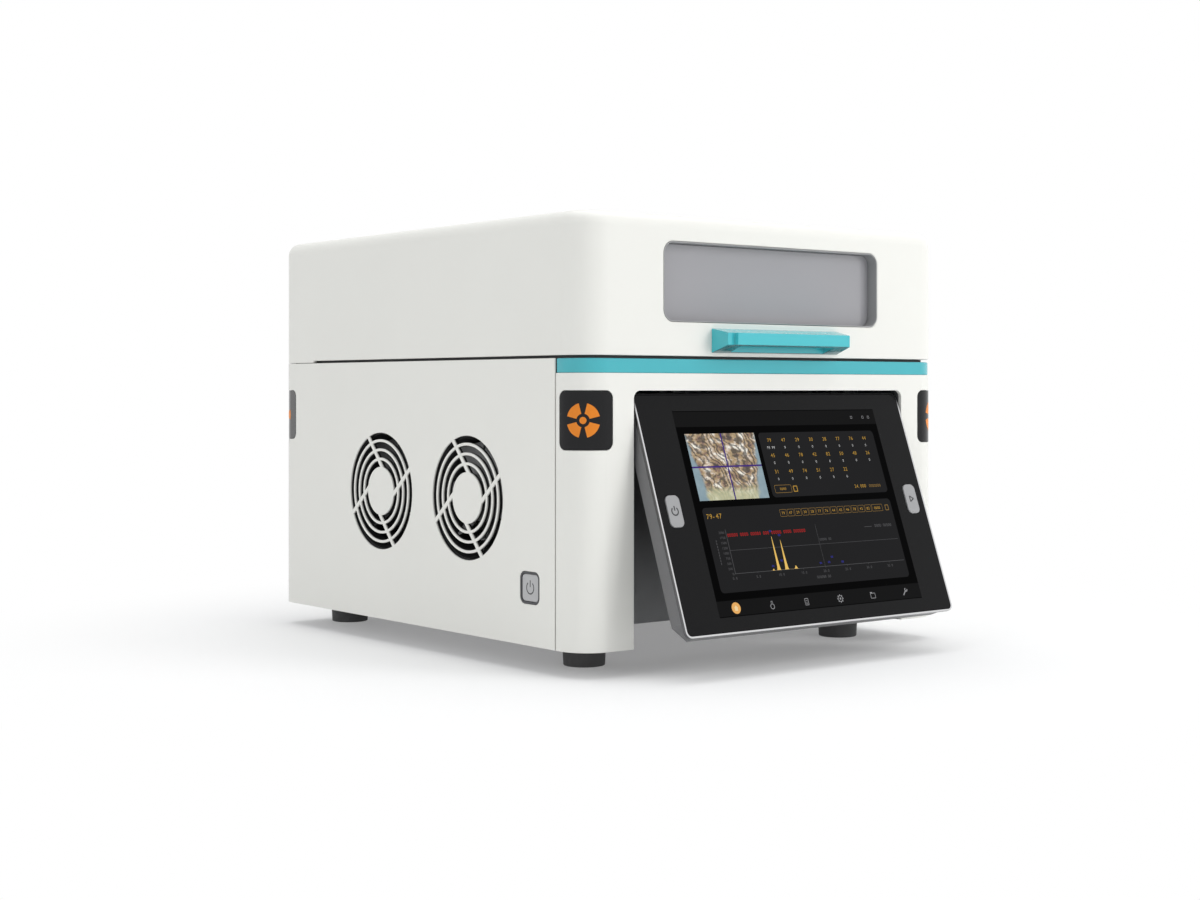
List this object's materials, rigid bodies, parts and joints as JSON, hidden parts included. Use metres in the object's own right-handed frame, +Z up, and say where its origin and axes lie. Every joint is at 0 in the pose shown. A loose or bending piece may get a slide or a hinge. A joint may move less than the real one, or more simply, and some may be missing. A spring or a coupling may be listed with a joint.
{
  "type": "electronic gold tester",
  "caption": "Benchtop gold tester: white casing, hinged measuring lid with a window, tilting touch display with keys, side fans and a side push button.",
  "frame": {"origin": "middle of the footprint on the surface it stands on, the tilted display and the rear hinges included", "axes": "+X to the right seen from the front, +Y towards the back, +Z up"},
  "size_m": [0.356, 0.4728, 0.316],
  "materials": {
    "white_shell": "satin white paint over a moulded shell",
    "teal_gloss": "glossy teal moulding",
    "black_gloss": "glossy black moulding",
    "black_plastic": "matte black moulding",
    "dark_frame": "satin dark grey moulding",
    "key_grey": "satin light grey key cap",
    "rubber": "matte black rubber",
    "screen_glass": "black touch glass over the lit screen",
    "silver_rim": "bright bevelled rim",
    "display_aluminium": "grey blasted aluminium",
    "window_pane": "grey leaded glass",
    "window_grey": "satin mid grey moulding",
    "sheet_steel": "brushed sheet steel",
    "bay_grey": "dark grey powder coat",
    "fasteners": "zinc plated steel",
    "head_brass": "machined brass",
    "unit_case": "folded aluminium case",
    "circuit_board": "green solder mask"
  },
  "bodies": {
    "casing": {"base_tray": "sheet_steel", "chassis_posts": "sheet_steel", "front_cover": "white_shell", "front_trim": "teal_gloss", "bay_lining": "bay_grey", "left_side_panel": "white_shell", "right_side_panel": "white_shell", "rear_panel": "white_shell", "deck_plate": "sheet_steel", "sample_stage": "window_grey", "lid_seal": "rubber", "base_hinge_leaves": "sheet_steel", "lid_hinge_pins": "fasteners", "interlock_switch": "black_plastic", "corner_cover_front_left": "black_gloss", "corner_cover_front_right": "black_gloss", "corner_cover_rear_left": "black_gloss", "corner_cover_rear_right": "black_gloss", "fan_frame_front": "black_plastic", "fan_frame_rear": "black_plastic", "side_button_frame": "dark_frame", "foot_front_left": "rubber", "foot_front_right": "rubber", "foot_rear_left": "rubber", "foot_rear_right": "rubber", "foot_screws": "fasteners", "mains_inlet": "black_plastic", "data_ports": "sheet_steel", "casing_screws": "fasteners", "display_hinge_brackets": "bay_grey", "measuring_head": "head_brass", "xray_tube": "unit_case", "detector": "unit_case", "camera_module": "black_plastic", "wheel_motor": "black_plastic", "hv_supply": "unit_case", "mains_supply": "unit_case", "main_board": "circuit_board"},
    "lid": {"lid_shell": "white_shell", "lid_lining": "sheet_steel", "window_frame": "window_grey", "window_pane": "window_pane", "lid_handle": "teal_gloss", "lid_screws": "fasteners", "lid_hinge_leaves": "sheet_steel", "interlock_magnet": "fasteners"},
    "display": {"display_frame": "silver_rim", "display_glass": "screen_glass", "display_panel": "dark_frame", "display_back": "display_aluminium", "display_board": "circuit_board", "key_switches": "black_plastic"},
    "power_key": {"power_key": "key_grey"},
    "start_key": {"start_key": "key_grey"},
    "side_button": {"side_button": "key_grey"},
    "power_rocker": {"power_rocker": "dark_frame"},
    "fan_rotor_front": {"fan_rotor_front": "black_plastic"},
    "fan_rotor_rear": {"fan_rotor_rear": "black_plastic"},
    "filter_wheel": {"filter_wheel": "head_brass"}
  },
  "joints": [
    {"name": "lid_hinge", "type": "hinge", "parent": "casing", "child": "lid", "pos_m": [0, 0.23193, 0.217], "axis": [-1, 0, 0], "range_deg": [0, 82]},
    {"name": "display_tilt", "type": "hinge", "parent": "casing", "child": "display", "pos_m": [0, -0.17173, 0.18371], "axis": [1, 0, 0], "range_deg": [-10, 19.8]},
    {"name": "power_key_press", "type": "slide", "parent": "display", "child": "power_key", "axis": [0, 0.9409, -0.3387], "range_m": [0, 0.0008], "stiffness_N_per_m": 500, "springref_m": -0.0008},
    {"name": "start_key_press", "type": "slide", "parent": "display", "child": "start_key", "axis": [0, 0.9409, -0.3387], "range_m": [0, 0.0008], "stiffness_N_per_m": 500, "springref_m": -0.0008},
    {"name": "side_button_press", "type": "slide", "parent": "casing", "child": "side_button", "axis": [1, 0, 0], "range_m": [0, 0.002], "stiffness_N_per_m": 500, "springref_m": -0.001},
    {"name": "power_rocker_tip", "type": "hinge", "parent": "casing", "child": "power_rocker", "pos_m": [-0.092, 0.22413, 0.088], "axis": [-1, 0, 0], "range_deg": [0, 14]},
    {"name": "front_fan_spin", "type": "hinge", "parent": "casing", "child": "fan_rotor_front", "pos_m": [-0.1623, -0.04787, 0.1165], "axis": [1, 0, 0], "continuous": true},
    {"name": "rear_fan_spin", "type": "hinge", "parent": "casing", "child": "fan_rotor_rear", "pos_m": [-0.1623, 0.07013, 0.1165], "axis": [1, 0, 0], "continuous": true},
    {"name": "filter_wheel_turn", "type": "hinge", "parent": "casing", "child": "filter_wheel", "pos_m": [0, 0.02713, 0.185], "axis": [0, 0, 1], "continuous": true}
  ]
}
